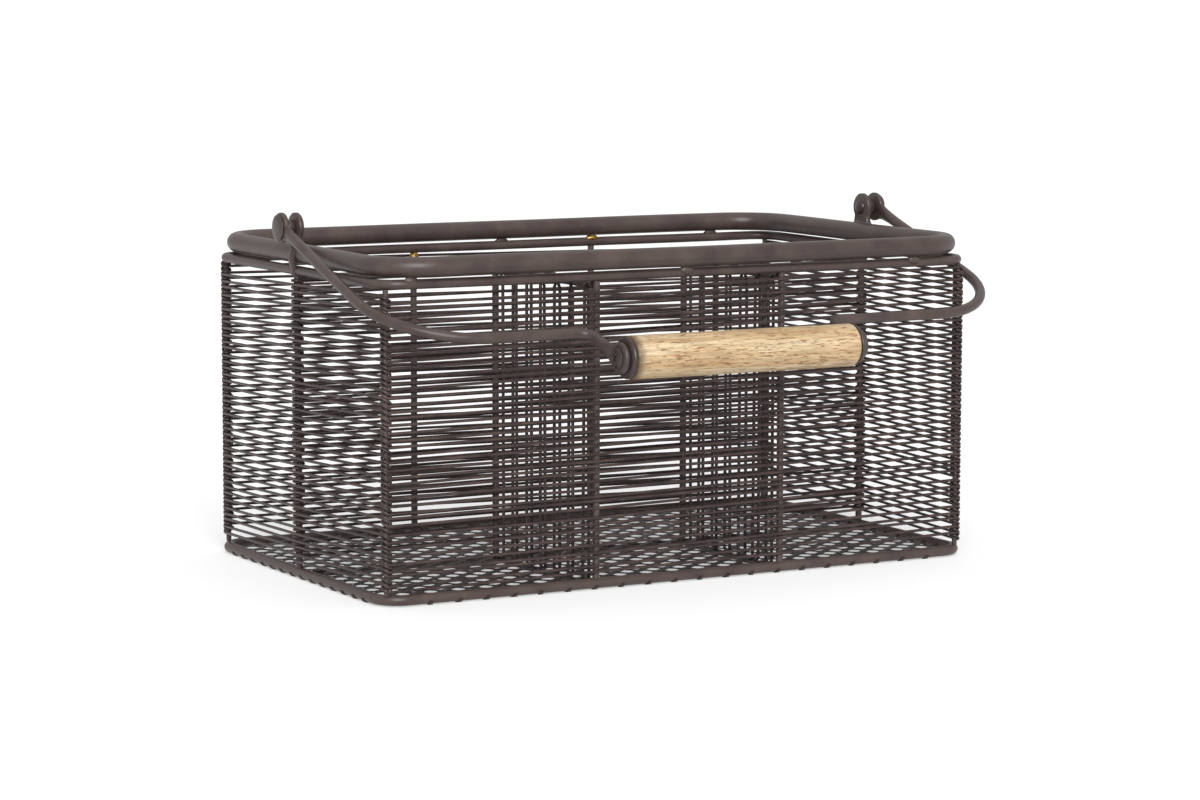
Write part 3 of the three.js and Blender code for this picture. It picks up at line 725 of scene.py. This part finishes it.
# A round-topped plate with bevelled edges, widening to a foot that is welded along the rim.
def addLug(side, hub, way):
    low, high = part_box(f"pivot_lug_{side}")
    radius = high.z - hub.z
    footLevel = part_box("top_rim")[1].z - lug["footDrop"] * mm
    outline = []
    for k in range(lug["arcSteps"] + 1):
        angle = math.radians(lug["arcStart"] + lug["arcSweep"] * k / lug["arcSteps"])
        outline.append((radius * math.cos(angle), hub.z + radius * math.sin(angle)))
    foot, ankle = lug["foot"] * mm, footLevel + lug["footHeight"] * mm
    outline += [(-foot * 0.92, ankle), (-foot * 1.1, footLevel),
                (foot * 1.1, footLevel), (foot * 0.92, ankle)]
    bevel = lug["bevel"] * mm
    layers = [(low.x, 1 - bevel / radius), (low.x + bevel, 1.0), (high.x - bevel, 1.0),
              (high.x, 1 - bevel / radius)]
    vertices = [Vector((x, y * scale, hub.z + (z - hub.z) * scale))
                for x, scale in layers for y, z in outline]
    count, faces = len(outline), []
    for k in range(len(layers) - 1):
        for j in range(count):
            n = (j + 1) % count
            faces.append([k * count + j, k * count + n, (k + 1) * count + n, (k + 1) * count + j])
    faces += [list(range(count))[::-1], [3 * count + j for j in range(count)]]
    weldSpot = Vector(((low.x + high.x) / 2, 0, footLevel + 2.0 * mm))
    weldRun = lump(weldSpot, [v * mm for v in lug["weld"]], way * 4.4)
    addPiece(f"lug_{side}", [(vertices, faces), weldRun], steel, "basket", "pivots",
             f"pivot_lug_{side}", crease=50)


def addSpacer(side, hub, axis):
    low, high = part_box(f"pivot_spacer_{side}")
    near, far = sorted((abs(low.x), abs(high.x)))
    bore, radius, bevel = spacer["bore"] * mm, spacer["radius"] * mm, spacer["bevel"] * mm
    profile = [(near, bore), (near, radius - bevel), (near + bevel, radius),
               (far - bevel, radius), (far, radius - bevel), (far, bore)]
    addPiece(f"spacer_{side}", [turn(profile, 32, hub, axis)], fittingSteel, "basket", "pivots",
             f"pivot_spacer_{side}", crease=50)


# A strap hammered round over the rim's outer face, narrowing down to the ring.
def addStrap(side, way):
    low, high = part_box(f"end_strap_{side}")
    back, front = sorted((abs(low.x), abs(high.x)))
    thick, halfWide = front - back, (high.y - low.y) / 2
    section = ((-1, -0.1), (-0.75, 0.45), (0, 0.6), (0.75, 0.45), (1, -0.1), (0.9, -0.7), (-0.9, -0.7))
    vertices, faces = [], []
    for k in range(strap["steps"] + 1):
        t = k / strap["steps"]
        tuck = strap["tuck"] * mm * (1 - math.sin(math.pi * min(1, t * strap["tuckRun"])))
        x = back - tuck + strap["bow"] * mm * math.sin(math.pi * t)
        wide = halfWide * (strap["top"] - strap["taper"] * t)
        for y, out in section:
            vertices.append(Vector((way * (x + thick * out), y * wide, high.z + (low.z - high.z) * t)))
    sides = len(section)
    for k in range(strap["steps"]):
        for j in range(sides):
            n = (j + 1) % sides
            faces.append([sides * k + j, sides * k + n, sides * (k + 1) + n, sides * (k + 1) + j][::way])
    faces.append(list(range(sides))[::-way])
    faces.append([sides * strap["steps"] + j for j in range(sides)][::way])
    addPiece(f"strap_{side}", [(vertices, faces)], steel, "basket", "pivots", f"end_strap_{side}", crease=60)


for side, way in (("left", -1), ("right", 1)):
    hub = Vector((0, 0, middleOf(f"pivot_rivet_{side}").z))
    addRivet(side, hub, Vector((way, 0, 0)))
    addLug(side, hub, way)
    addSpacer(side, hub, Vector((way, 0, 0)))
    addStrap(side, way)
print("pivots made")

# ---- bail
bail = {
    "drop": 19.0, "reach": 132, "corner": 45, "gripReach": 160, "radius": 2.5, "intoEye": 3.0,
    "eye": 7.2, "eyeThick": 2.6, "eyeBore": 2.4, "neckBend": 6.5, "gripEye": 63.4, "neckX": 64.6,
    "pivotX": 166.3, "bow": 0.35, "bowSpan": 45, "sides": 20,
}
gripShift = middleOf("grip").x / mm
dropAngle = math.radians(bail["drop"])
hubHeight = middleOf("pivot_rivet_left").z


# The handle's own plane: across the basket, and away from the pivots.
def inBail(x, reach, lift=0.0):
    return Vector((x, -reach * math.cos(dropAngle) - lift * math.sin(dropAngle),
                   hubHeight - reach * math.sin(dropAngle) + lift * math.cos(dropAngle)))


def filletLine(corners, radii, steps=14):
    line = [Vector(corners[0])]
    for i in range(1, len(corners) - 1):
        here = Vector(corners[i])
        back = (Vector(corners[i - 1]) - here).normalized()
        on = (Vector(corners[i + 1]) - here).normalized()
        half = back.angle(on) / 2
        start = here + back * radii[i - 1] / math.tan(half)
        end = here + on * radii[i - 1] / math.tan(half)
        centre = here + (back + on).normalized() * radii[i - 1] / math.sin(half)
        arm, goal = start - centre, end - centre
        bend = arm.angle(goal)
        for k in range(steps + 1):
            before, after = math.sin(bend * (1 - k / steps)), math.sin(bend * k / steps)
            line.append(centre + (arm * before + goal * after) / math.sin(bend))
    line.append(Vector(corners[-1]))
    return line


# Half width and half thickness of the rod by distance from an eye: hammered wide and thin, then round.
halfWidths = ((0, 6.0), (4, 5.6), (6.5, 4.2), (9, 3.4), (14, 2.9), (22, bail["radius"]))
halfThicks = ((0, 1.3), (4, 1.3), (6.5, 1.45), (9, 1.75), (14, 2.15), (22, bail["radius"]))


def densify(line, step=2.5):
    fine = [line[0]]
    for a, b in zip(line, line[1:]):
        parts = max(1, math.ceil((b - a).length / step))
        fine += [a.lerp(b, k / parts) for k in range(1, parts + 1)]
    return fine


def bailHalf(way):
    pivotX, neckX = way * bail["pivotX"], way * bail["neckX"] + gripShift
    corners = [(pivotX, bail["intoEye"]), (pivotX, bail["reach"]), (neckX, bail["reach"]),
               (neckX, bail["gripReach"] - bail["intoEye"])]
    line = densify(filletLine(corners, [bail["corner"], bail["neckBend"]]))
    total = sum((b - a).length for a, b in zip(line, line[1:]))
    gone, vertices, faces = 0.0, [], []
    sides = bail["sides"]
    for i, spot in enumerate(line):
        if i:
            gone += (spot - line[i - 1]).length
        fromEye = min(gone, total - gone) + bail["intoEye"]
        width, thick = between(halfWidths, fromEye), between(halfThicks, fromEye)
        before, after = line[max(0, i - 1)], line[min(len(line) - 1, i + 1)]
        along = (after - before).normalized()
        flat = Vector((along.y, -along.x))
        bow = bail["bow"] * noise.noise(Vector((gone / bail["bowSpan"], way * 3.3, 0.7)))
        for k in range(sides):
            angle = 2 * math.pi * k / sides
            out = spot + flat * thick * math.cos(angle)
            vertices.append(inBail(out.x * mm, out.y * mm, (bow + width * math.sin(angle)) * mm))
    for i in range(len(line) - 1):
        for k in range(sides):
            n = (k + 1) % sides
            faces.append([i * sides + k, i * sides + n, (i + 1) * sides + n, (i + 1) * sides + k])
    faces.append(list(range(sides))[::-1])
    faces.append([(len(line) - 1) * sides + k for k in range(sides)])
    parts = [(vertices, faces)]
    half, edge, bore = bail["eyeThick"] / 2, bail["eye"], bail["eyeBore"]
    profile = [(-half, bore), (-half, edge - 0.9), (-half + 0.3, edge - 0.25), (-half + 0.8, edge),
               (half - 0.8, edge), (half - 0.3, edge - 0.25), (half, edge - 0.9), (half, bore), (-half, bore)]
    profile = [(along * mm, radius * mm) for along, radius in profile]
    for x, reach in ((pivotX, 0), (way * bail["gripEye"] + gripShift, bail["gripReach"])):
        parts.append(turn(profile, 40, inBail(x * mm, reach * mm), Vector((1, 0, 0))))
    return parts


for side, way in (("left", -1), ("right", 1)):
    addPiece(f"bail_wire_{side}", bailHalf(way), steel, "bail", "bail", f"bail_{side}", crease=50)
print("bail made")

# ---- grip
grip = {"half": 59.5, "radius": 10.0, "edge": 1.6, "bore": 2.3, "ridge": 0.04, "ridgeWave": 0.21,
        "sides": 64}
cap = {"radius": 9.6, "face": 8.4}
screw = {"shank": 2.0, "head": 4.8, "headThick": 1.6, "armPower": 10, "sides": 48}
gripCentre = inBail(gripShift * mm, bail["gripReach"] * mm)


def gripProfile():
    half, radius, edge = grip["half"], grip["radius"], grip["edge"]
    edgeSteps, ridgeSteps = 6, 24
    start = [(-half, grip["bore"]), (-half, radius - edge)]
    for k in range(1, edgeSteps + 1):
        angle = math.pi / 2 * k / edgeSteps
        start.append((-half + edge * (1 - math.cos(angle)), radius - edge * (1 - math.sin(angle))))
    profile = list(start)
    for k in range(1, ridgeSteps):
        x = -half + edge + (2 * half - 2 * edge) * k / ridgeSteps
        ridge = grip["ridge"] * abs(math.sin(x * grip["ridgeWave"]))  # faint tool ridges
        profile.append((x, radius - ridge))
    profile += [(-x, r) for x, r in start[::-1]]
    return [(x * mm, r * mm) for x, r in profile]


def addCap(side, axis):
    low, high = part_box(f"grip_cap_{side}")
    near, far = sorted((abs(low.x - gripCentre.x), abs(high.x - gripCentre.x)))
    bore, radius, face = grip["bore"] * mm, cap["radius"] * mm, cap["face"] * mm
    profile = [(near, bore), (near, radius - 0.3 * mm), (near + 0.3 * mm, radius),
               (near + 1.0 * mm, radius), (far - 0.4 * mm, radius - 0.4 * mm), (far, face), (far, bore)]
    addPiece(f"cap_{side}", [turn(profile, 48, gripCentre, axis)], fittingSteel, "grip_assembly",
             "grip_fittings", f"grip_cap_{side}", crease=50)


# A screw with a pan head and a cross recess. Each ring is a place, a radius, and how far the cross
# reaches past that radius.
def addScrew(side, axis):
    low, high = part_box(f"grip_screw_{side}")
    tip, top = sorted((abs(low.x - gripCentre.x), abs(high.x - gripCentre.x)))
    seat, shank, head = top - screw["headThick"] * mm, screw["shank"], screw["head"]
    rings = [(tip, shank, 0), (seat, shank, 0), (seat, head - 0.2, 0), (seat + 0.2 * mm, head, 0),
             (seat + 0.7 * mm, head - 0.1, 0), (seat + 1.15 * mm, 3.9, 0), (seat + 1.45 * mm, 3.0, 0),
             (top, 0.75, 2.0), (top - 1.2 * mm, 0.5, 1.3)]
    sides = screw["sides"]
    across = axis.orthogonal().normalized()
    up = axis.cross(across)
    vertices, faces = [], []
    for along, radius, arm in rings:
        for k in range(sides):
            angle = 2 * math.pi * k / sides
            reach = (radius + arm * abs(math.cos(2 * angle)) ** screw["armPower"]) * mm
            out = across * math.cos(angle) + up * math.sin(angle)
            vertices.append(gripCentre + axis * along + out * reach)
    for i in range(len(rings) - 1):
        for k in range(sides):
            n = (k + 1) % sides
            faces.append([i * sides + k, i * sides + n, (i + 1) * sides + n, (i + 1) * sides + k])
    faces.append(list(range(sides))[::-1])
    faces.append([(len(rings) - 1) * sides + k for k in range(sides)])
    addPiece(f"screw_{side}", [(vertices, faces)], fittingSteel, "grip_assembly", "grip_fittings",
             f"grip_screw_{side}", crease=45)


gripTurned = turn(gripProfile(), grip["sides"], gripCentre, Vector((1, 0, 0)))
addPiece("grip_turned", [gripTurned], wood, "grip_assembly", "grip_wood", "grip", crease=50)
for side, way in (("left", -1), ("right", 1)):
    addCap(side, Vector((way, 0, 0)))
    addScrew(side, Vector((way, 0, 0)))
print("grip made")

# ---- studio
studio = {
    "floorHalf": 30.0, "world": 1.0, "exposure": -0.42,
    "front": 5.0, "frontSoftness": 40, "frontFrom": (-0.36, -0.82, 0.45),
    "overhead": 5, "overheadSize": 1.6, "overheadAt": (0.1, 0.3, 2.0),
}
floorMesh = bpy.data.meshes.new("studio_floor")
floorCorners = [(x * studio["floorHalf"], y * studio["floorHalf"], 0)
                for x, y in ((-1, -1), (1, -1), (1, 1), (-1, 1))]
floorMesh.from_pydata(floorCorners, [], [(0, 1, 2, 3)])
floorMesh.materials.append(tableTop)
floorPiece = bpy.data.objects.new("studio_floor", floorMesh)
bpy.context.scene.collection.objects.link(floorPiece)

world = bpy.data.worlds.new("studio_light")
bpy.context.scene.world = world
world.use_nodes = True
world.node_tree.nodes["Background"].inputs["Color"].default_value = (1, 1, 1, 1)
world.node_tree.nodes["Background"].inputs["Strength"].default_value = studio["world"]

# one wide front light, as from a large softbox a long way off, and a small one overhead
frontSun = bpy.data.lights.new("front_light", "SUN")
frontSun.energy = studio["front"]
frontSun.angle = math.radians(studio["frontSoftness"])
frontLamp = bpy.data.objects.new("front_light", frontSun)
frontLamp.rotation_euler = (-Vector(studio["frontFrom"])).to_track_quat("-Z", "Y").to_euler()
bpy.context.scene.collection.objects.link(frontLamp)

overhead = bpy.data.lights.new("overhead_softbox", "AREA")
overhead.shape = "DISK"
overhead.size = studio["overheadSize"]
overhead.energy = studio["overhead"]
overheadLamp = bpy.data.objects.new("overhead_softbox", overhead)
overheadLamp.location = studio["overheadAt"]
bpy.context.scene.collection.objects.link(overheadLamp)

camera = {"place": (-856.9, -1551.75, 289.7), "yaw": 29.05, "pitch": 6.857, "roll": 0.122,
          "lens": 108.2, "sensor": 36, "clipEnd": 100}
cameraData = bpy.data.cameras.new("camera")
cameraData.lens = camera["lens"]
cameraData.sensor_width = camera["sensor"]
cameraData.clip_end = camera["clipEnd"]
cameraObject = bpy.data.objects.new("camera", cameraData)
cameraObject.matrix_world = (
    Matrix.Translation(Vector(camera["place"]) * mm)
    @ Matrix.Rotation(math.radians(-camera["yaw"]), 4, "Z")
    @ Matrix.Rotation(math.radians(90 - camera["pitch"]), 4, "X")
    @ Matrix.Rotation(math.radians(camera["roll"]), 4, "Z"))
bpy.context.scene.collection.objects.link(cameraObject)
bpy.context.scene.camera = cameraObject
bpy.context.scene.view_settings.view_transform = "Standard"
bpy.context.scene.view_settings.exposure = studio["exposure"]
print("studio and camera set")
